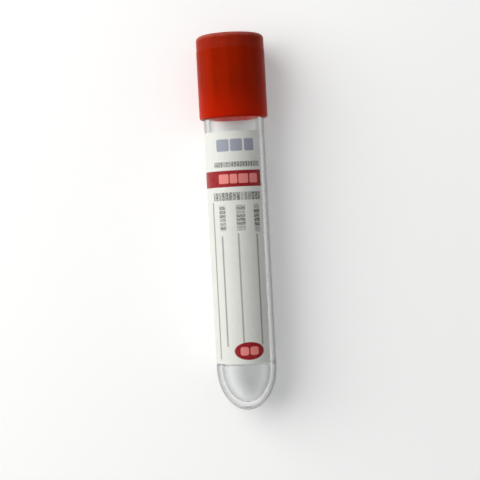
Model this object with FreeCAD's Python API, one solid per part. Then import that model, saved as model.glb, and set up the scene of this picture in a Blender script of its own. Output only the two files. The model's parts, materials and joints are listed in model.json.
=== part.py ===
import FreeCAD, Part
import math
import os

# A 13 x 75 mm round-bottomed blood collection tube with its paper label and its two-piece
# closure, lying on a table. Sizes are in millimetres and angles in degrees. Heights are
# measured along the tube's axis, from the outside of its round end.

# Tube: clear moulded plastic, straight outside, with a drafted bore.
tube_length = 75.0
tube_radius = 6.5
tube_wall = 1.0              # at the mouth
bore_draft = 0.2             # how much the bore's radius shrinks down to the round end
dome_height = 9.5            # the round end is half an ellipsoid, longer than it is wide
dome_floor = 1.6             # thickness at the tip
rim_rounding = 0.3

# Label: one paper sticker that leaves a clear window along the tube.
label_width = 32.5           # laid flat
label_thickness = 0.1
label_to_dome = 1.2          # bare wall between the round end and the label
label_to_cap = 3.0           # bare wall between the label and the cap
label_right_edge = 49.0      # from the middle of the printed front, towards the window

# Cap: moulded shell with a skirt round the mouth and a needle recess in its top.
cap_wall = 0.8
cap_height = 18.0
cap_rise = 6.4               # how far the cap stands above the mouth
crown_rounding = 0.9
crown_width = 1.4            # of the ring round the recess
recess_draft = 0.6           # how much the recess's radius shrinks down to its floor
recess_lip_rounding = 0.3
recess_corner_rounding = 0.4
plate_thickness = 1.2
needle_hole_radius = 3.5
skirt_clearance = 0.1        # skirt to tube
skirt_edge_rounding = 0.5
skirt_lead_in = 0.2

# Bead inside the cap that snaps under the stopper's flange.
bead_depth = 0.3
bead_height = 0.7
bead_slope = 0.25
bead_lift = 0.15             # above the mouth
bead_rounding = 0.12

# Stopper: rubber, with a flange on the mouth, a ringed plug and a dish for the needle.
seat_clearance = 0.05        # flange to mouth
flange_thickness = 1.9
flange_clearance = 0.05      # flange and boss to the cap
flange_rounding = 0.15
plug_length = 8.5
plug_wall = 1.75             # round the well, between the sealing rings
plug_clearance = 0.05        # sealing rings to bore
plug_nose_rounding = 0.6
ring_depth = 0.3
ring_height = 1.4
ring_slope = 0.45
ring_rounding = 0.25
ring_drops = (5.4, 2.2)      # from the mouth down to the middle of each ring
well_depth = 5.5
well_draft = 0.5             # how much the well's radius shrinks up to its end
well_lip_rounding = 0.3
well_corner_rounding = 1.4
boss_drop = 0.2              # from the recess floor down to the boss
boss_rounding = 0.2
dish_rim = 0.75              # the boss's flat ring round the dish
dish_depth = 0.8
dish_draft = 0.8             # how much the dish's radius shrinks down to its floor
dish_rounding = 0.3

# Heights and radii that follow from the sizes above.
mouth = tube_length
bore_radius = tube_radius - tube_wall
skirt_radius = tube_radius + skirt_clearance
cap_radius = skirt_radius + cap_wall
cap_top = mouth + cap_rise
cap_bottom = cap_top - cap_height
label_radius = tube_radius + label_thickness
label_bottom = dome_height + label_to_dome
label_top = cap_bottom - label_to_cap
flange_bottom = mouth + seat_clearance
flange_top = flange_bottom + flange_thickness
recess_floor = flange_top + plate_thickness
bead_bottom = mouth + bead_lift
bead_top = bead_bottom + bead_height
bead_radius = skirt_radius - bead_depth

origin = FreeCAD.Vector(0, 0, 0)
tube_axis = FreeCAD.Vector(0, 0, 1)


def section_point(radius, height):
    """A point of a section, in the half-plane that is turned about the tube's axis."""
    return FreeCAD.Vector(radius, 0, height)


def straight(start, end):
    """The edge between two points of a section, or none where two roundings meet."""
    if start.isEqual(end, 1e-7):
        return []
    return [Part.makeLine(start, end)]


def rounded_chain(corners):
    """Edges through corners given as (radius, height, rounding).

    A rounded corner is a tangent arc. Its ends lie off the corner by the rounding divided by
    the tangent of half the corner's angle. The first and last corners are always sharp.
    """
    points = [section_point(radius, height) for radius, height, _ in corners]
    edges = []
    reached = points[0]
    for index in range(1, len(corners) - 1):
        corner, rounding = points[index], corners[index][2]
        if rounding:
            back = (points[index - 1] - corner).normalize()
            ahead = (points[index + 1] - corner).normalize()
            half_angle = back.getAngle(ahead) / 2
            setback = rounding / math.tan(half_angle)
            inset = rounding / math.sin(half_angle) - rounding
            start = corner + back * setback
            middle = corner + (back + ahead).normalize() * inset
            end = corner + ahead * setback
            edges += straight(reached, start)
            edges.append(Part.Arc(start, middle, end).toShape())
            reached = end
        else:
            edges += straight(reached, corner)
            reached = corner
    return edges + straight(reached, points[-1])


def dome_edge(tip, radius, base):
    """A quarter of an ellipse, from the tip on the axis out to the wall at the dome's base."""
    curve = Part.BezierCurve()
    curve.setPoles([section_point(0, tip), section_point(radius, tip), section_point(radius, base)])
    curve.setWeight(2, math.sqrt(0.5))
    return curve.toShape()


def turned(edges, angle=360.0):
    """The solid that a closed section makes when it is turned about the tube's axis."""
    face = Part.Face(Part.Wire(Part.sortEdges(edges)[0]))
    return face.revolve(origin, tube_axis, angle)


def turned_outline(corners, angle=360.0):
    """The same for a section given by its corners, the first of which is sharp."""
    return turned(rounded_chain(corners + corners[:1]), angle)


def bore_radius_at(height):
    """The bore's radius, which shrinks evenly from the mouth to the round end."""
    return bore_radius - bore_draft * (mouth - height) / (mouth - dome_height)


def make_tube():
    """A straight wall with a rounded rim, closed by an ellipsoid inside and outside."""
    bore_end = bore_radius_at(dome_height)
    walls = rounded_chain([
        (tube_radius, dome_height, 0),
        (tube_radius, mouth, rim_rounding),
        (bore_radius, mouth, rim_rounding),
        (bore_end, dome_height, 0),
    ])
    outside = dome_edge(0, tube_radius, dome_height)
    inside = dome_edge(dome_floor, bore_end, dome_height)
    tip = Part.makeLine(section_point(0, 0), section_point(0, dome_floor))
    return turned(walls + [outside, inside, tip])


def make_label():
    """A thin shell wrapped from the window's far side, round the back, to its right edge.

    The printed front faces -Y and its right is +X. The section starts at +X and turns
    anticlockwise, so the shell is turned back until its end is at the right edge.
    """
    wrap = math.degrees(label_width / (tube_radius + label_thickness / 2))
    strip = turned_outline([
        (tube_radius, label_bottom, 0),
        (label_radius, label_bottom, 0),
        (label_radius, label_top, 0),
        (tube_radius, label_top, 0),
    ], wrap)
    strip.rotate(origin, tube_axis, label_right_edge - 90 - wrap)
    return strip


def make_cap():
    """The shell's half section, from the skirt's edge up the outside and down the inside."""
    recess_radius = cap_radius - crown_width
    return turned_outline([
        (skirt_radius + skirt_lead_in, cap_bottom, 0),
        (cap_radius, cap_bottom, skirt_edge_rounding),
        (cap_radius, cap_top, crown_rounding),
        (recess_radius, cap_top, recess_lip_rounding),
        (recess_radius - recess_draft, recess_floor, recess_corner_rounding),
        (needle_hole_radius, recess_floor, 0),
        (needle_hole_radius, flange_top, 0),
        (skirt_radius, flange_top, 0),
        (skirt_radius, bead_top, 0),
        (bead_radius, bead_top - bead_slope, bead_rounding),
        (bead_radius, bead_bottom + bead_slope, bead_rounding),
        (skirt_radius, bead_bottom, 0),
        (skirt_radius, cap_bottom + skirt_lead_in, 0),
    ])


def sealing_ring(drop):
    """One ring of the plug, from its lower foot over its rounded crest to its upper foot."""
    middle = mouth - drop
    crest = bore_radius_at(middle) - plug_clearance
    foot = crest - ring_depth
    half = ring_height / 2
    return [
        (foot, middle - half, 0),
        (crest, middle - half + ring_slope, ring_rounding),
        (crest, middle + half - ring_slope, ring_rounding),
        (foot, middle + half, 0),
    ]


def make_stopper():
    """The rubber's half section: up from the well, round the plug and flange, to the dish."""
    plug_end = mouth - plug_length
    well_end = plug_end + well_depth
    nose_radius = bore_radius_at(plug_end) - plug_clearance - ring_depth
    neck_radius = bore_radius - plug_clearance - ring_depth
    well_radius = neck_radius - plug_wall
    flange_radius = skirt_radius - flange_clearance
    step_radius = bead_radius - flange_clearance
    step_height = bead_top + flange_clearance
    boss_radius = needle_hole_radius - flange_clearance
    boss_top = recess_floor - boss_drop
    dish_radius = boss_radius - dish_rim
    dish_floor = boss_top - dish_depth
    corners = [
        (0, well_end, 0),
        (well_radius - well_draft, well_end, well_corner_rounding),
        (well_radius, plug_end, well_lip_rounding),
        (nose_radius, plug_end, plug_nose_rounding),
    ]
    for drop in ring_drops:
        corners += sealing_ring(drop)
    corners += [
        (neck_radius, flange_bottom, 0),
        (step_radius, flange_bottom, flange_rounding),
        (step_radius, step_height, 0),
        (flange_radius, step_height, flange_rounding),
        (flange_radius, flange_top, flange_rounding),
        (boss_radius, flange_top, 0),
        (boss_radius, boss_top, boss_rounding),
        (dish_radius, boss_top, 0),
        (dish_radius - dish_draft, dish_floor, dish_rounding),
        (0, dish_floor, 0),
    ]
    return turned_outline(corners)


def resting_slope():
    """The axis's slope on a table that touches the label's lower edge and the skirt's edge."""
    along = cap_bottom + skirt_edge_rounding - label_bottom
    out = cap_radius - skirt_edge_rounding - label_radius
    to_rounding = math.atan2(out, along)
    over_rounding = math.asin(skirt_edge_rounding / math.hypot(along, out))
    return math.degrees(to_rounding + over_rounding)


def lay_down(pieces):
    """Turns the standing pieces to lie front up with the cap towards +Y, on z = 0."""
    turn = FreeCAD.Rotation(FreeCAD.Vector(1, 0, 0), resting_slope() - 90)
    matrix = FreeCAD.Placement(origin, turn).toMatrix()
    laid = {name: piece.transformed(matrix, True) for name, piece in pieces.items()}
    box = Part.makeCompound(list(laid.values())).optimalBoundingBox(False)
    shift = FreeCAD.Vector(-box.Center.x, -box.Center.y, -box.ZMin)
    for piece in laid.values():
        piece.translate(shift)
    return laid


def main():
    pieces = lay_down({
        "tube": make_tube(),
        "label": make_label(),
        "cap": make_cap(),
        "stopper": make_stopper(),
    })
    os.makedirs("parts", exist_ok=True)
    for name, piece in pieces.items():
        piece.exportStep(f"parts/{name}.step")


main()
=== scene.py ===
import json
import math

import bpy
import numpy as np
from mathutils import Matrix, Vector


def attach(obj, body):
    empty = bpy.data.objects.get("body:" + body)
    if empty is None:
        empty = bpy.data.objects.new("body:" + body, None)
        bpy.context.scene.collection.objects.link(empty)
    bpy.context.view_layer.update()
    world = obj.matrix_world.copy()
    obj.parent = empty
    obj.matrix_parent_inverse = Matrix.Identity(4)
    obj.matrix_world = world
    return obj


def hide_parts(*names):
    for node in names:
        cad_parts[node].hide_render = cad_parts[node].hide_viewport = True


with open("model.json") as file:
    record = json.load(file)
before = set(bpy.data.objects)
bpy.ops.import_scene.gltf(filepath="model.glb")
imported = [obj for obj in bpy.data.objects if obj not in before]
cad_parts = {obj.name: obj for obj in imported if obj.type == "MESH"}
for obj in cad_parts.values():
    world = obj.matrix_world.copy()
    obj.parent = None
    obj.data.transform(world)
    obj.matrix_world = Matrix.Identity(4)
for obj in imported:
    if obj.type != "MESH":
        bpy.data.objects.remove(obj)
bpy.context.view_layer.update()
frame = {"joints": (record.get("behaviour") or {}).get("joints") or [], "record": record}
print("frame loaded")

# The pieces are measured in millimetres and in the tube's own directions: along its axis from
# the tip of its round end, and outwards at an angle from the middle of the label's front. The
# table, the lamp and the camera are placed in metres.
millimetre = 0.001

# The edge angle, in degrees, is that of the label's edge beside the clear window. Sunk is how
# far its inner side lies below the tube's surface, so that the two never coincide.
labelSizes = {"bottom": 10.7, "top": 60.4, "width": 32.5, "edgeAngle": 49.0, "thickness": 0.1,
              "sunk": 0.008, "liftDepth": 0.09, "liftReach": 1.1, "rows": 72, "columns": 216}
mounts = {mount["name"]: mount for mount in frame["record"]["mounts"]}
alongAxis = np.array(frame["joints"][0]["axis"], float)
towardsRight = np.array([1.0, 0.0, 0.0])
towardsFront = np.cross(towardsRight, alongAxis)
labelMiddle = np.array(mounts["rack_fit"]["pos_m"], float) / millimetre
tipPoint = labelMiddle - alongAxis * (labelSizes["bottom"] + labelSizes["top"]) / 2


# One straight run of a profile: start + (end - start) * (1 - cos(pi t)) / 2, t from 0 to 1,
# so that the points crowd towards both ends.
def straightRun(start, end, steps):
    t = np.arange(steps) / steps
    share = (1 - np.cos(np.pi * t)) / 2
    return np.array(start) + np.outer(share, np.array(end) - np.array(start))


# A quarter of an ellipse: radius * sin(t), base - (base - tip) * cos(t), t from 0 to pi / 2.
def domeRun(radius, tip, base, steps):
    t = np.linspace(0, np.pi / 2, steps + 1)
    return np.column_stack([radius * np.sin(t), base - (base - tip) * np.cos(t)])


# A vector divided by its length.
def unit(vector):
    return vector / np.linalg.norm(vector)


# Straight runs through corners (radius, height, rounding). A rounding r at a corner of half
# angle a starts r / tan(a) away and is the arc centre + r * (cos(t), sin(t)) between the runs.
def cornerRuns(corners, arcSteps, runSteps):
    points = np.array([corner[:2] for corner in corners], float)
    parts = []
    reached = points[0]
    for index in range(1, len(corners)):
        corner, rounding = points[index], corners[index][2]
        if rounding and index < len(corners) - 1:
            back, ahead = unit(points[index - 1] - corner), unit(points[index + 1] - corner)
            half = math.acos(np.clip(back @ ahead, -1, 1)) / 2
            centre = corner + unit(back + ahead) * rounding / math.sin(half)
            start = corner + back * rounding / math.tan(half)
            end = corner + ahead * rounding / math.tan(half)
            first = math.atan2(*(start - centre)[::-1])
            turn = math.atan2(*(end - centre)[::-1]) - first
            turn = (turn + math.pi) % (2 * math.pi) - math.pi
            t = first + turn * np.arange(arcSteps) / arcSteps
            arc = centre + rounding * np.column_stack([np.cos(t), np.sin(t)])
            parts += [straightRun(reached, start, runSteps), arc]
            reached = end
        else:
            parts.append(straightRun(reached, corner, runSteps))
            reached = corner
    return np.vstack(parts + [reached[None]])


# Points in metres at radius r, height h and angle a:
# tip + h * along + r * (sin(a) * right + cos(a) * front).
def placed(radius, height, angle):
    outwards = np.sin(angle)[..., None] * towardsRight + np.cos(angle)[..., None] * towardsFront
    return (tipPoint + height[..., None] * alongAxis + radius[..., None] * outwards) * millimetre


# A mesh object from points and faces. Its faces are turned over if it encloses less than
# nothing: the volume is the sum of a . (b x c) / 6 over its triangles.
def meshPiece(name, points, faces, material, sharpAbove=32):
    triangles = np.array([(face[0], face[k], face[k + 1])
                          for face in faces for k in range(1, len(face) - 1)])
    a, b, c = (points[triangles[:, k]] for k in range(3))
    if np.einsum("ij,ij->i", a, np.cross(b, c)).sum() < 0:
        faces = [tuple(reversed(face)) for face in faces]
    mesh = bpy.data.meshes.new(name)
    mesh.from_pydata(points.tolist(), [], faces)
    mesh.shade_smooth()
    mesh.set_sharp_from_angle(angle=math.radians(sharpAbove))
    mesh.materials.append(material)
    piece = bpy.data.objects.new(name, mesh)
    bpy.context.scene.collection.objects.link(piece)
    return piece


# Faces of a grid of rows by columns, each joined to the next, and round when it is closed.
def gridFaces(rows, columns, rowsClosed, columnsClosed):
    i, j = np.meshgrid(np.arange(rows if rowsClosed else rows - 1),
                       np.arange(columns if columnsClosed else columns - 1), indexing="ij")
    below, beyond = (i + 1) % rows, (j + 1) % columns
    corners = [i * columns + j, i * columns + beyond, below * columns + beyond, below * columns + j]
    return [tuple(quad) for quad in np.stack(corners, -1).reshape(-1, 4).tolist()]


# A profile (radius, height) turned right round: every point of it at the angles 2 pi k / n.
# Profiles that start and end on the axis close in a fan of triangles at each pole. The others
# close on themselves.
def turnedPiece(name, profile, columns, material):
    onAxis = profile[0, 0] < 1e-9
    ring = profile[1:-1] if onAxis else profile[:-1]
    angle = np.linspace(0, 2 * np.pi, columns, endpoint=False)
    radius = np.repeat(ring[:, :1], columns, 1)
    height = np.repeat(ring[:, 1:], columns, 1)
    points = placed(radius, height, np.broadcast_to(angle, radius.shape)).reshape(-1, 3)
    faces = gridFaces(len(ring), columns, not onAxis, True)
    if onAxis:
        poles = placed(profile[[0, -1], 0], profile[[0, -1], 1], np.zeros(2))
        points = np.vstack([points, poles])
        column = np.arange(columns)
        following = (column + 1) % columns
        lastRow = (len(ring) - 1) * columns
        firstFan = np.stack([np.full(columns, len(points) - 2), following, column], -1)
        lastFan = np.stack([np.full(columns, len(points) - 1), lastRow + column, lastRow + following], -1)
        faces += [tuple(face) for face in np.stack([firstFan, lastFan], 1).reshape(-1, 3).tolist()]
    return meshPiece(name, points, faces, material)


# A new material with its node tree and its shader, the latter with the given plain values.
def newMaterial(name, **values):
    material = bpy.data.materials.new(name)
    material.use_nodes = True
    shader = material.node_tree.nodes["Principled BSDF"]
    for key, value in values.items():
        shader.inputs[key.replace("_", " ")].default_value = value
    return material, material.node_tree, shader


# A node of the given kind. Its inputs, by name or number, get plain values or links.
def addNode(tree, kind, inputs=None, **settings):
    node = tree.nodes.new(kind)
    for key, value in settings.items():
        setattr(node, key, value)
    for key, value in (inputs or {}).items():
        if isinstance(value, bpy.types.NodeSocket):
            tree.links.new(value, node.inputs[key])
        else:
            node.inputs[key].default_value = value
    return node


# One operation on plain numbers or links, held between 0 and 1 when clamp is set.
def maths(tree, operation, *values, clamp=False):
    node = addNode(tree, "ShaderNodeMath", dict(enumerate(values)), operation=operation, use_clamp=clamp)
    return node.outputs[0]


# The same on vectors. A length and a dot product give a number.
def vectorMaths(tree, operation, *values):
    node = addNode(tree, "ShaderNodeVectorMath", dict(enumerate(values)), operation=operation)
    return node.outputs["Value" if operation in ("LENGTH", "DOT_PRODUCT") else "Vector"]


# The three parts of a vector.
def partsOf(tree, vector):
    return addNode(tree, "ShaderNodeSeparateXYZ", {0: vector}).outputs


# A colour between two: first * (1 - share) + second * share.
def mixed(tree, share, first, second):
    return addNode(tree, "ShaderNodeMix", {0: share, 6: first, 7: second}, data_type="RGBA").outputs[2]


# Low where the value is at start or before it, high where it is at end or past it, and an even
# rise between the two.
def ranged(tree, value, low, high, start=0.25, end=0.75):
    return addNode(tree, "ShaderNodeMapRange", {"Value": value, "From Min": start, "From Max": end,
                                                "To Min": low, "To Max": high}).outputs["Result"]


# The place on the object, in metres.
def placeOn(tree):
    return addNode(tree, "ShaderNodeTexCoord").outputs["Object"]


# Noise of the place, stretched by a scale per metre in each direction.
def noiseOf(tree, scale, detail=3.0, roughness=0.5):
    stretched = vectorMaths(tree, "MULTIPLY", placeOn(tree), scale)
    return addNode(tree, "ShaderNodeTexNoise", {"Vector": stretched, "Scale": 1.0, "Detail": detail,
                                                "Roughness": roughness}).outputs["Fac"]


# The way from the tip of the tube's round end to the place, in metres.
def fromTip(tree):
    return vectorMaths(tree, "SUBTRACT", placeOn(tree), tuple(tipPoint * millimetre))


# Height in mm along the tube: the part of the way from the tip that lies along the axis.
def heightAlong(tree):
    return vectorMaths(tree, "DOT_PRODUCT", fromTip(tree), tuple(alongAxis / millimetre))


# Distance in mm from the tube's axis: the part of the way that lies across the axis.
def radiusFromAxis(tree):
    across = vectorMaths(tree, "CROSS_PRODUCT", fromTip(tree), tuple(alongAxis / millimetre))
    return vectorMaths(tree, "LENGTH", across)


# The surface's direction, tilted as if its height rose by depth mm where the value is 1.
def bumped(tree, value, depth, normal=None):
    inputs = {"Height": value, "Distance": depth * millimetre}
    if normal is not None:
        inputs["Normal"] = normal
    return addNode(tree, "ShaderNodeBump", inputs).outputs["Normal"]


# The gate is the mark that the moulding leaves at the tip. The groove runs round the tube just
# below the label.
tubeSizes = {"radius": 6.5, "length": 75.0, "domeHeight": 9.5, "floor": 1.6, "boreTop": 5.5,
             "boreEnd": 5.3, "rimRound": 0.3, "gateRadius": 0.75, "gateOuter": 0.94, "gateDepth": 0.12,
             "grooveHeight": 10.35, "grooveWidth": 0.5, "grooveDepth": 0.09, "grooveRound": 0.2,
             "grooveEdge": 0.1, "domeSteps": 56, "boreSteps": 48, "arcSteps": 8, "runSteps": 16,
             "columns": 192}
tubeLook = {"colour": (0.94, 0.95, 0.945, 1), "outline": (0.12, 0.13, 0.125, 1), "outlineOver": (0.3, 0.8),
            "smooth": 0.04, "handled": 0.12, "waveDepth": 0.12, "scratchDepth": 0.004}


# Clear plastic that handling has dulled in places. Its colour darkens towards its outline: partly light lost
# along the wall, partly painted shade.
def clearPlastic():
    material, tree, shader = newMaterial("clear plastic", Transmission_Weight=1.0, IOR=1.575)
    # Painted shade: the colour darkens where the surface turns away from the view.
    facing = addNode(tree, "ShaderNodeLayerWeight", {"Blend": 0.5}).outputs["Facing"]
    outline = ranged(tree, facing, 0.0, 1.0, *tubeLook["outlineOver"])
    tree.links.new(mixed(tree, outline, tubeLook["colour"], tubeLook["outline"]), shader.inputs["Base Color"])
    handling = noiseOf(tree, (180, 60, 180), detail=4)
    scratches = noiseOf(tree, (2600, 70, 2600), detail=2)
    waves = noiseOf(tree, (110, 40, 110), detail=1)
    dulled = maths(tree, "MULTIPLY", handling, scratches)
    rough = ranged(tree, dulled, tubeLook["smooth"], tubeLook["handled"], 0.2, 0.42)
    tree.links.new(rough, shader.inputs["Roughness"])
    surface = bumped(tree, waves, tubeLook["waveDepth"])
    surface = bumped(tree, scratches, tubeLook["scratchDepth"], normal=surface)
    tree.links.new(surface, shader.inputs["Normal"])
    return material


# The bore's radius at a height: it shrinks evenly from the mouth to the base of the round end.
def boreRadius(height):
    size = tubeSizes
    share = (size["length"] - height) / (size["length"] - size["domeHeight"])
    return size["boreTop"] - (size["boreTop"] - size["boreEnd"]) * share


# The tube's profile, turned round: the sunk gate, the ellipse outside, the grooved wall, the
# rim, the bore and the ellipse inside.
def makeTube():
    size = tubeSizes
    radius, groove, half = size["radius"], size["grooveHeight"], size["grooveWidth"] / 2
    gate = [(0, size["gateDepth"]), (size["gateRadius"], size["gateDepth"])]
    outside = domeRun(radius, 0, size["domeHeight"], size["domeSteps"])
    outside = outside[outside[:, 0] > size["gateOuter"]]
    inside = domeRun(size["boreEnd"], size["floor"], size["domeHeight"], size["boreSteps"])[::-1]
    walls = cornerRuns([
        (radius, size["domeHeight"], 0),
        (radius, groove - half, size["grooveEdge"]),
        (radius - size["grooveDepth"], groove, size["grooveRound"]),
        (radius, groove + half, size["grooveEdge"]),
        (radius, size["length"], size["rimRound"]),
        (size["boreTop"], size["length"], size["rimRound"]),
        (size["boreEnd"], size["domeHeight"], 0),
    ], size["arcSteps"], size["runSteps"])
    profile = np.vstack([gate, outside[:-1], walls, inside[1:]])
    piece = turnedPiece("tubeBody", profile, size["columns"], clearPlastic())
    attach(piece, "tube_body")
    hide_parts("tube")


makeTube()
print("tube made")


# Blocks of print side by side at one height, each given by its middle and its width.
def blocks(ink, height, tall, spans, **look):
    return [{"ink": ink, "at": (middle, height), "size": (wide, tall), **look} for middle, wide in spans]


# Each printed shape is centred on (arc, height) with the given width and height, all in mm.
# Arc is measured round the tube from the middle of the front, positive towards the window.
# A later shape lies over the earlier ones. Share is how well its ink covers, round the radius
# of its corners, and pitch the width of one mark in a row of small print.
inks = {"red": (0.30, 0.006, 0.012, 1), "pink": (0.90, 0.30, 0.27, 1), "slate": (0.12, 0.14, 0.27, 1),
        "grey": (0.10, 0.10, 0.09, 1), "rule": (0.27, 0.28, 0.25, 1)}
printed = [
    *blocks("slate", 57.4, 2.6, [(-2.8, 2.9), (0.2, 2.6), (3.0, 2.2)], round=0.35, share=0.66),
    {"ink": "grey", "at": (0.1, 53.3), "size": (10.4, 1.1), "pitch": 0.6, "share": 0.85},
    {"ink": "red", "at": (-10.65, 50.25), "size": (32.6, 3.5), "round": 0.08, "share": 1.0},
    *blocks("pink", 50.25, 2.0, [(-2.9, 2.3), (-0.7, 1.6), (1.4, 2.1), (3.7, 1.9)], round=0.3, share=0.82),
    {"ink": "grey", "at": (-0.3, 46.5), "size": (11.0, 1.7), "pitch": 0.82, "share": 0.9},
    {"ink": "grey", "at": (-3.6, 41.9), "size": (1.5, 5.4), "pitch": 0.85, "share": 0.85, "upright": True},
    {"ink": "grey", "at": (0.45, 41.9), "size": (1.9, 5.4), "pitch": 0.81, "share": 0.8, "upright": True},
    {"ink": "grey", "at": (4.1, 41.8), "size": (1.4, 6.0), "pitch": 0.93, "share": 1.0, "upright": True},
    {"ink": "rule", "at": (-6.1, 28.5), "size": (0.42, 33.6), "round": 0.05, "share": 0.85},
    {"ink": "rule", "at": (-3.9, 26.3), "size": (0.4, 23.6), "round": 0.05, "share": 0.85},
    {"ink": "rule", "at": (-0.25, 26.6), "size": (0.36, 24.0), "round": 0.05, "share": 0.75},
    {"ink": "rule", "at": (3.9, 26.45), "size": (0.4, 23.7), "round": 0.05, "share": 0.85},
    {"ink": "red", "at": (0.85, 13.45), "size": (6.5, 3.8), "oval": True, "share": 1.0},
    *blocks("pink", 13.45, 1.8, [(-0.2, 1.8), (1.9, 1.8)], round=0.5, share=0.82),
]
markLook = {"round": 0.05, "cellHalf": 0.4875, "cellFade": 8.0, "palest": 0.5, "broken": 0.45, "speckle": 2.6}
# The glow strength in paperLook is painted light on the label's inner side.
paperLook = {"paper": (0.745, 0.755, 0.71, 1), "shade": (0.69, 0.70, 0.66, 1), "soft": 0.12, "sideReach": 0.3,
             "worn": 0.965, "through": 0.2, "rough": (0.36, 0.5), "inkGloss": 0.1, "fibreDepth": 0.012,
             "cloudDepth": 0.05}


# How much of a shape covers a place: 1 inside, 0 outside, over a soft edge. With
# q = |place - centre| - half + r, the distance to a rounded rectangle is
# length(max(q, 0)) + min(max(q.x, q.y), 0) - r, and to an oval it is
# (length((place - centre) / half) - 1) * the shorter half. The third part of a place is 1 on the
# label's outer side and 0 on its inner side, which is too far off to be printed.
def shapeMask(tree, place, shape):
    half = (shape["size"][0] / 2, shape["size"][1] / 2)
    offset = vectorMaths(tree, "SUBTRACT", place, (*shape["at"], 1.0))
    if shape.get("oval"):
        scaled = vectorMaths(tree, "DIVIDE", offset, (*half, paperLook["sideReach"]))
        past = maths(tree, "SUBTRACT", vectorMaths(tree, "LENGTH", scaled), 1.0)
        distance = maths(tree, "MULTIPLY", past, min(half))
    else:
        rounding = shape.get("round", markLook["round"])
        reach = (half[0] - rounding, half[1] - rounding, paperLook["sideReach"])
        beyond = vectorMaths(tree, "SUBTRACT", vectorMaths(tree, "ABSOLUTE", offset), reach)
        outside = vectorMaths(tree, "LENGTH", vectorMaths(tree, "MAXIMUM", beyond, (0.0, 0.0, 0.0)))
        sides = partsOf(tree, beyond)
        inside = maths(tree, "MINIMUM", maths(tree, "MAXIMUM", sides[0], sides[1]), 0.0)
        distance = maths(tree, "SUBTRACT", maths(tree, "ADD", outside, inside), rounding)
    mask = maths(tree, "SUBTRACT", 0.5, maths(tree, "DIVIDE", distance, paperLook["soft"]), clamp=True)
    if "pitch" in shape:
        mask = maths(tree, "MULTIPLY", mask, marks(tree, offset, shape["pitch"], shape.get("upright")))
    return maths(tree, "MULTIPLY", mask, shape["share"])


# Small print too fine to read: cells of the given pitch along the row, each with a steep fade
# at its ends, (cellHalf - |part of the cell - 0.5|) * cellFade, some paler at random, and each
# broken up by noise.
def marks(tree, offset, pitch, upright):
    run = maths(tree, "DIVIDE", partsOf(tree, offset)[1 if upright else 0], pitch)
    cell = maths(tree, "FLOOR", run)
    fromMiddle = maths(tree, "ABSOLUTE", maths(tree, "SUBTRACT", maths(tree, "SUBTRACT", run, cell), 0.5))
    withinEnds = maths(tree, "SUBTRACT", markLook["cellHalf"], fromMiddle)
    body = maths(tree, "MULTIPLY", withinEnds, markLook["cellFade"], clamp=True)
    chance = addNode(tree, "ShaderNodeTexWhiteNoise", {"W": maths(tree, "ADD", cell, pitch)},
                     noise_dimensions="1D").outputs["Value"]
    kept = ranged(tree, chance, markLook["palest"], 1.0, 0.05, 0.55)
    speckle = addNode(tree, "ShaderNodeTexNoise", {"Vector": offset, "Scale": markLook["speckle"],
                                                   "Detail": 2.0}).outputs["Fac"]
    strokes = ranged(tree, speckle, markLook["broken"], 1.0, 0.38, 0.54)
    return maths(tree, "MULTIPLY", maths(tree, "MULTIPLY", body, kept), strokes)


# White paper with fibres and print. Its inner side glows with the paper's colour: painted light for the light
# that comes through it.
def labelPaper():
    material, tree, shader = newMaterial("label paper", Specular_IOR_Level=0.22)
    place = addNode(tree, "ShaderNodeAttribute", attribute_name="labelPlace").outputs["Vector"]
    fibres = noiseOf(tree, (2200, 900, 2200), detail=6, roughness=0.65)
    clouds = noiseOf(tree, (160, 160, 160), detail=2)
    shade = maths(tree, "MULTIPLY", ranged(tree, fibres, 0.0, 1.0, 0.35, 0.65),
                  ranged(tree, clouds, 0.2, 1.0))
    colour = mixed(tree, shade, paperLook["paper"], paperLook["shade"])
    rubbed = ranged(tree, fibres, 1.0, paperLook["worn"], 0.4, 0.7)
    inked = 0.0
    for shape in printed:
        mask = shapeMask(tree, place, shape)
        colour = mixed(tree, maths(tree, "MULTIPLY", mask, rubbed), colour, inks[shape["ink"]])
        inked = maths(tree, "MAXIMUM", inked, mask)
    tree.links.new(colour, shader.inputs["Base Color"])
    # Painted light: a faint glow on the label's inner side only.
    inner = maths(tree, "SUBTRACT", 1.0, partsOf(tree, place)[2], clamp=True)
    shader.inputs["Emission Color"].default_value = paperLook["paper"]
    tree.links.new(maths(tree, "MULTIPLY", inner, paperLook["through"]), shader.inputs["Emission Strength"])
    dull = ranged(tree, fibres, *paperLook["rough"])
    glossed = maths(tree, "MULTIPLY", inked, paperLook["inkGloss"])
    tree.links.new(maths(tree, "SUBTRACT", dull, glossed), shader.inputs["Roughness"])
    surface = bumped(tree, fibres, paperLook["fibreDepth"])
    surface = bumped(tree, clouds, paperLook["cloudDepth"], normal=surface)
    tree.links.new(surface, shader.inputs["Normal"])
    return material


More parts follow.
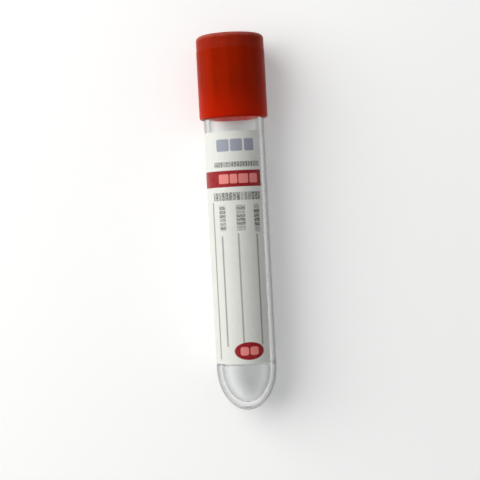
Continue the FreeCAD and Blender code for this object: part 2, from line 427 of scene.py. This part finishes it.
# A sheet wrapped on the tube: grids over angle and height at its outer and inner radius, with
# strips between their edges. An arc is an angle times the radius in the middle of the paper.
# The edge beside the window lifts a little: the radius grows by depth * s^2, where s runs from
# 0 at the reach to 1 at that edge.
def makeLabel():
    size, rows, columns = labelSizes, labelSizes["rows"], labelSizes["columns"]
    outer = tubeSizes["radius"] + size["thickness"]
    inner = tubeSizes["radius"] - size["sunk"]
    middle = tubeSizes["radius"] + size["thickness"] / 2
    windowEdge = math.radians(size["edgeAngle"]) * middle
    arc = np.linspace(windowEdge - size["width"], windowEdge, columns)
    arcs, heights = np.meshgrid(arc, np.linspace(size["bottom"], size["top"], rows))
    lift = size["liftDepth"] * np.clip(1 - (windowEdge - arcs) / size["liftReach"], 0, 1) ** 2
    radii = np.stack([outer + lift, inner + lift])
    points = placed(radii, np.stack([heights] * 2), np.stack([arcs / middle] * 2)).reshape(-1, 3)
    grid = np.arange(rows * columns).reshape(rows, columns)
    border = np.concatenate([grid[0], grid[1:, -1], grid[-1, -2::-1], grid[-2:0:-1, 0]])
    following = np.roll(border, -1)
    under = rows * columns
    outerFaces = gridFaces(rows, columns, False, False)
    innerFaces = [tuple(index + under for index in reversed(face)) for face in outerFaces]
    strip = np.column_stack([following, border, border + under, following + under])
    edgeFaces = [tuple(quad) for quad in strip.tolist()]
    piece = meshPiece("labelSheet", points, outerFaces + innerFaces + edgeFaces, labelPaper())
    sides = [np.stack([arcs, heights, np.full(arcs.shape, side)], -1) for side in (1.0, 0.0)]
    attribute = piece.data.attributes.new("labelPlace", "FLOAT_VECTOR", "POINT")
    attribute.data.foreach_set("vector", np.stack(sides).astype(np.float32).ravel())
    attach(piece, "tube_body")
    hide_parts("label")


makeLabel()
print("label made")


# Rise, lift and plateLift are measured up from the tube's mouth, stepFoot and stepHead from the
# cap's foot. The step is where the cap gets a little slimmer towards its crown. Clearance is
# what the skirt leaves round the tube.
capSizes = {"clearance": 0.1, "wall": 0.8, "rise": 6.4, "height": 18.0, "crownRound": 0.9, "footRound": 0.5,
            "leadIn": 0.2, "crownWidth": 1.4, "recessDraft": 0.6, "recessLip": 0.3, "recessRound": 0.4,
            "plateLift": 1.95, "plate": 1.2, "hole": 3.5, "holeRound": 0.08, "stepFoot": 14.6,
            "stepHead": 14.95, "stepDepth": 0.06, "stepRound": 0.4, "arcSteps": 8, "runSteps": 10,
            "columns": 192}
beadSizes = {"lift": 0.15, "height": 0.7, "depth": 0.3, "slope": 0.25, "round": 0.12}

# What the cap and the stopper inside it share.
mouth = tubeSizes["length"]
skirtRadius = tubeSizes["radius"] + capSizes["clearance"]
capFoot = mouth + capSizes["rise"] - capSizes["height"]
beadRadius = skirtRadius - beadSizes["depth"]
beadBottom = mouth + beadSizes["lift"]
beadTop = beadBottom + beadSizes["height"]
plateBottom = mouth + capSizes["plateLift"]
recessFloor = plateBottom + capSizes["plate"]

# Each span that ends in Over is two heights from the cap's foot, or two radii for insideOver.
# The glow colours and the crown's highlight share below are painted light, not colours of the plastic.
capLook = {"colour": (0.36, 0.0150, 0.0006, 1), "deep": (0.26, 0.0100, 0.0005, 1),
           "paintedGlow": (0.45, 0.0130, 0.0006, 1), "paintedGlowOver": (7.6, 1.1), "paintedInsideGlow": 0.6,
           "insideOver": (6.65, 6.85), "paleTintAndHighlight": (0.90, 0.68, 0.60, 1), "paleBand": 0.014,
           "bandOver": (14.7, 15.0), "crownHighlight": 0.11, "crownOver": (16.9, 17.5),
           "rough": (0.26, 0.34), "grainRough": (-0.02, 0.03), "flowDepth": 0.03, "grainDepth": 0.006}


# 0 to 1 over a span of two heights that are measured from the cap's foot.
def overCap(tree, span):
    return ranged(tree, heightAlong(tree), 0.0, 1.0, capFoot + span[0], capFoot + span[1])


# The skirt's colour is painted lighter where it surrounds the clear tube than where it covers rubber, and its
# inner faces glow: painted light for light that comes through the tube and the wall. The crown carries a
# painted highlight, and the cap is slightly paler above the step, both patchy.
def capPlastic():
    material, tree, shader = newMaterial("cap plastic", Subsurface_Weight=0.8, Subsurface_Scale=0.0012,
                                         Subsurface_Radius=(1.0, 0.22, 0.08), IOR=1.5,
                                         Specular_IOR_Level=0.03)
    clouds = noiseOf(tree, (240, 110, 240), detail=3)
    grain = noiseOf(tree, (3800, 3800, 3800), detail=2)
    flow = noiseOf(tree, (900, 90, 900), detail=2)
    streaks = noiseOf(tree, (420, 24, 420), detail=2)
    mottled = maths(tree, "ADD", ranged(tree, clouds, 0.0, 0.5), ranged(tree, streaks, 0.0, 0.5, 0.38, 0.62))
    # Painted light: the lower skirt is lifted towards a lighter red, as if lit through the clear tube.
    paintedGlow = overCap(tree, capLook["paintedGlowOver"])
    colour = mixed(tree, paintedGlow, mixed(tree, mottled, capLook["colour"], capLook["deep"]), capLook["paintedGlow"])
    # Painted highlight over the crown and a slightly paler cap above the step, both made patchy by this
    # noise.
    patchiness = ranged(tree, noiseOf(tree, (900, 1500, 900), detail=5), 0.55, 1.0, 0.36, 0.66)
    band = maths(tree, "MULTIPLY", overCap(tree, capLook["bandOver"]), capLook["paleBand"])
    crown = maths(tree, "MULTIPLY", overCap(tree, capLook["crownOver"]), capLook["crownHighlight"])
    paleBandAndHighlight = maths(tree, "MULTIPLY", maths(tree, "ADD", band, crown), patchiness)
    tree.links.new(mixed(tree, paleBandAndHighlight, colour, capLook["paleTintAndHighlight"]), shader.inputs["Base Color"])
    # Painted light: the inner faces of the lower skirt glow, standing in for light through the wall.
    inside = ranged(tree, radiusFromAxis(tree), 1.0, 0.0, *capLook["insideOver"])
    shader.inputs["Emission Color"].default_value = capLook["paintedGlow"]
    paintedInsideLight = maths(tree, "MULTIPLY", maths(tree, "MULTIPLY", inside, paintedGlow), capLook["paintedInsideGlow"])
    tree.links.new(paintedInsideLight, shader.inputs["Emission Strength"])
    rough = maths(tree, "ADD", ranged(tree, clouds, *capLook["rough"]),
                  ranged(tree, grain, *capLook["grainRough"]))
    tree.links.new(rough, shader.inputs["Roughness"])
    surface = bumped(tree, flow, capLook["flowDepth"])
    surface = bumped(tree, grain, capLook["grainDepth"], normal=surface)
    tree.links.new(surface, shader.inputs["Normal"])
    return material


# The cap's profile, turned round: up the outside from the skirt's foot, over the crown, down
# the recess, through the needle hole, out under the plate and down the skirt past its bead.
def makeCap():
    size, bead = capSizes, beadSizes
    capTop = capFoot + size["height"]
    outside = skirtRadius + size["wall"]
    slimmer = outside - size["stepDepth"]
    recessTop = outside - size["crownWidth"]
    foot = (skirtRadius + size["leadIn"], capFoot, 0)
    corners = [
        foot,
        (outside, capFoot, size["footRound"]),
        (outside, capFoot + size["stepFoot"], size["stepRound"]),
        (slimmer, capFoot + size["stepHead"], size["stepRound"]),
        (slimmer, capTop, size["crownRound"]),
        (recessTop, capTop, size["recessLip"]),
        (recessTop - size["recessDraft"], recessFloor, size["recessRound"]),
        (size["hole"], recessFloor, size["holeRound"]),
        (size["hole"], plateBottom, 0),
        (skirtRadius, plateBottom, 0),
        (skirtRadius, beadTop, 0),
        (beadRadius, beadTop - bead["slope"], bead["round"]),
        (beadRadius, beadBottom + bead["slope"], bead["round"]),
        (skirtRadius, beadBottom, 0),
        (skirtRadius, capFoot + size["leadIn"], 0),
        foot,
    ]
    profile = cornerRuns(corners, size["arcSteps"], size["runSteps"])
    piece = turnedPiece("capShell", profile, size["columns"], capPlastic())
    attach(piece, "closure")
    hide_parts("cap")


makeCap()
print("cap made")


# Clearance is what the stopper leaves to the mouth, the bore and the cap. Drops are measured
# down from the mouth to the middle of each sealing ring.
stopperSizes = {"clearance": 0.05, "plug": 8.5, "plugWall": 1.75, "noseRound": 0.6, "well": 5.5,
                "wellDraft": 0.5, "wellRound": 1.4, "wellLip": 0.3, "flangeRound": 0.15, "bossDrop": 0.2,
                "bossRound": 0.2, "dishRim": 0.75, "dishDepth": 0.8, "dishDraft": 0.8, "dishLip": 0.1,
                "dishRound": 0.3, "arcSteps": 7, "runSteps": 8, "columns": 160}
ringSizes = {"drops": (5.4, 2.2), "depth": 0.3, "height": 1.4, "slope": 0.45, "round": 0.25, "footRound": 0.1}
rubberLook = {"colour": (0.17, 0.016, 0.014, 1), "dusty": (0.24, 0.05, 0.045, 1), "rough": (0.55, 0.72),
              "cloudDepth": 0.04, "poreDepth": 0.014}


# Dark matt rubber, with pores and a thin uneven dust.
def rubber():
    material, tree, shader = newMaterial("stopper rubber", IOR=1.5)
    clouds = noiseOf(tree, (300, 300, 300), detail=4)
    pores = noiseOf(tree, (5200, 5200, 5200), detail=3, roughness=0.7)
    dusty = maths(tree, "MULTIPLY", ranged(tree, clouds, 0.0, 1.0), ranged(tree, pores, 0.3, 1.0))
    tree.links.new(mixed(tree, dusty, rubberLook["colour"], rubberLook["dusty"]), shader.inputs["Base Color"])
    tree.links.new(ranged(tree, pores, *rubberLook["rough"]), shader.inputs["Roughness"])
    surface = bumped(tree, clouds, rubberLook["cloudDepth"])
    surface = bumped(tree, pores, rubberLook["poreDepth"], normal=surface)
    tree.links.new(surface, shader.inputs["Normal"])
    return material


# One sealing ring of the plug, from its lower foot over its rounded crest to its upper foot.
# The crest follows the bore's taper.
def ringCorners(middle):
    ring = ringSizes
    crest = boreRadius(middle) - stopperSizes["clearance"]
    foot, half = crest - ring["depth"], ring["height"] / 2
    return [
        (foot, middle - half, ring["footRound"]),
        (crest, middle - half + ring["slope"], ring["round"]),
        (crest, middle + half - ring["slope"], ring["round"]),
        (foot, middle + half, ring["footRound"]),
    ]


# The stopper's profile, turned round: the well, the plug with its rings, the flange that steps
# over the cap's bead, and the boss in the needle hole with its dish.
def makeStopper():
    size, gap = stopperSizes, stopperSizes["clearance"]
    plugEnd = mouth - size["plug"]
    wellEnd = plugEnd + size["well"]
    neck = tubeSizes["boreTop"] - gap - ringSizes["depth"]
    nose = boreRadius(plugEnd) - gap - ringSizes["depth"]
    wellFoot = neck - size["plugWall"]
    step = beadRadius - gap
    flange = skirtRadius - gap
    boss = capSizes["hole"] - gap
    bossTop = recessFloor - size["bossDrop"]
    dish = boss - size["dishRim"]
    dishFloor = bossTop - size["dishDepth"]
    corners = [
        (0, wellEnd, 0),
        (wellFoot - size["wellDraft"], wellEnd, size["wellRound"]),
        (wellFoot, plugEnd, size["wellLip"]),
        (nose, plugEnd, size["noseRound"]),
    ]
    for drop in ringSizes["drops"]:
        corners += ringCorners(mouth - drop)
    corners += [
        (neck, mouth + gap, 0),
        (step, mouth + gap, size["flangeRound"]),
        (step, beadTop + gap, 0),
        (flange, beadTop + gap, size["flangeRound"]),
        (flange, plateBottom, size["flangeRound"]),
        (boss, plateBottom, 0),
        (boss, bossTop, size["bossRound"]),
        (dish, bossTop, size["dishLip"]),
        (dish - size["dishDraft"], dishFloor, size["dishRound"]),
        (0, dishFloor, 0),
    ]
    profile = cornerRuns(corners, size["arcSteps"], size["runSteps"])
    piece = turnedPiece("rubberStopper", profile, size["columns"], rubber())
    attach(piece, "closure")
    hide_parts("stopper")


makeStopper()
print("stopper made")


# Half is half the table's side. The lift grows to farLift over the two distances in liftOver.
stageLook = {"half": 1.6, "colour": (0.92, 0.92, 0.915, 1), "shade": (0.90, 0.90, 0.895, 1), "lift": 0.22,
             "farLift": 0.75, "liftOver": (0.12, 0.5), "throughLift": 0.22}


# A pale square table. Its own light lifts it towards white for the camera, for gloss and for
# rays through the clear plastic only, and more so far from the tube.
def makeStage():
    half = stageLook["half"]
    material, tree, shader = newMaterial("pale table", Roughness=0.6)
    clouds = noiseOf(tree, (14, 14, 14), detail=3)
    tree.links.new(mixed(tree, clouds, stageLook["colour"], stageLook["shade"]), shader.inputs["Base Color"])
    path = addNode(tree, "ShaderNodeLightPath").outputs
    seen = maths(tree, "MAXIMUM", path["Is Camera Ray"], path["Is Glossy Ray"])
    away = vectorMaths(tree, "LENGTH", placeOn(tree))
    lift = ranged(tree, away, stageLook["lift"], stageLook["farLift"], *stageLook["liftOver"])
    through = maths(tree, "MULTIPLY", path["Is Transmission Ray"], stageLook["throughLift"])
    strength = maths(tree, "MAXIMUM", maths(tree, "MULTIPLY", seen, lift), through)
    shader.inputs["Emission Color"].default_value = (1, 1, 1, 1)
    tree.links.new(strength, shader.inputs["Emission Strength"])
    mesh = bpy.data.meshes.new("table")
    mesh.from_pydata([(-half, -half, 0), (half, -half, 0), (half, half, 0), (-half, half, 0)], [],
                     [(0, 1, 2, 3)])
    mesh.materials.append(material)
    table = bpy.data.objects.new("table", mesh)
    bpy.context.scene.collection.objects.link(table)


windowLight = {"at": (-0.37, 0.17, 0.30), "size": 0.60, "watts": 3.1, "colour": (1.0, 0.99, 0.97)}
roomLight = {"colour": (0.97, 0.98, 1.0, 1), "strength": 0.30, "horizonOver": (0.15, 0.65)}


# A wide soft lamp that points at the tube. It doesn't show in gloss or through the tube.
def makeWindow():
    data = bpy.data.lights.new("window", "AREA")
    data.size, data.energy, data.color = windowLight["size"], windowLight["watts"], windowLight["colour"]
    light = bpy.data.objects.new("window", data)
    light.location = windowLight["at"]
    light.visible_glossy = light.visible_transmission = False
    light.rotation_euler = (-Vector(windowLight["at"])).to_track_quat("-Z", "Y").to_euler()
    bpy.context.scene.collection.objects.link(light)


# The room is white to the camera and through clear plastic, and in gloss low down. Everything
# else sees it at its plain strength.
def makeRoom():
    world = bpy.data.worlds.new("room")
    world.use_nodes = True
    tree = world.node_tree
    background = tree.nodes["Background"]
    background.inputs["Color"].default_value = roomLight["colour"]
    path = addNode(tree, "ShaderNodeLightPath").outputs
    clear = maths(tree, "MAXIMUM", path["Is Camera Ray"], path["Is Transmission Ray"])
    upwards = partsOf(tree, addNode(tree, "ShaderNodeTexCoord").outputs["Generated"])[2]
    low = ranged(tree, upwards, 1.0, 0.0, *roomLight["horizonOver"])
    white = maths(tree, "MAXIMUM", clear, maths(tree, "MULTIPLY", path["Is Glossy Ray"], low))
    strength = ranged(tree, white, roomLight["strength"], 1.0, 0.0, 1.0)
    tree.links.new(strength, background.inputs["Strength"])
    bpy.context.scene.world = world


cameraSizes = {"over": (0.0, -0.0037), "height": 0.277, "lens": 93.0, "sensor": 36.0, "nearest": 0.01,
               "lean": 3.0}


# The camera looks straight down on the lying tube and is turned by the lean, in degrees, so
# that the tube's round end points a little to the right.
def makeCamera():
    data = bpy.data.cameras.new("camera")
    data.lens, data.sensor_width = cameraSizes["lens"], cameraSizes["sensor"]
    data.clip_start = cameraSizes["nearest"]
    camera = bpy.data.objects.new("camera", data)
    lean = Matrix.Rotation(-math.radians(cameraSizes["lean"]), 4, "Z")
    camera.matrix_world = Matrix.Translation((*cameraSizes["over"], cameraSizes["height"])) @ lean
    bpy.context.scene.collection.objects.link(camera)
    bpy.context.scene.camera = camera


makeStage()
makeWindow()
makeRoom()
makeCamera()
bpy.context.scene.view_settings.view_transform = "Standard"
print("stage made")
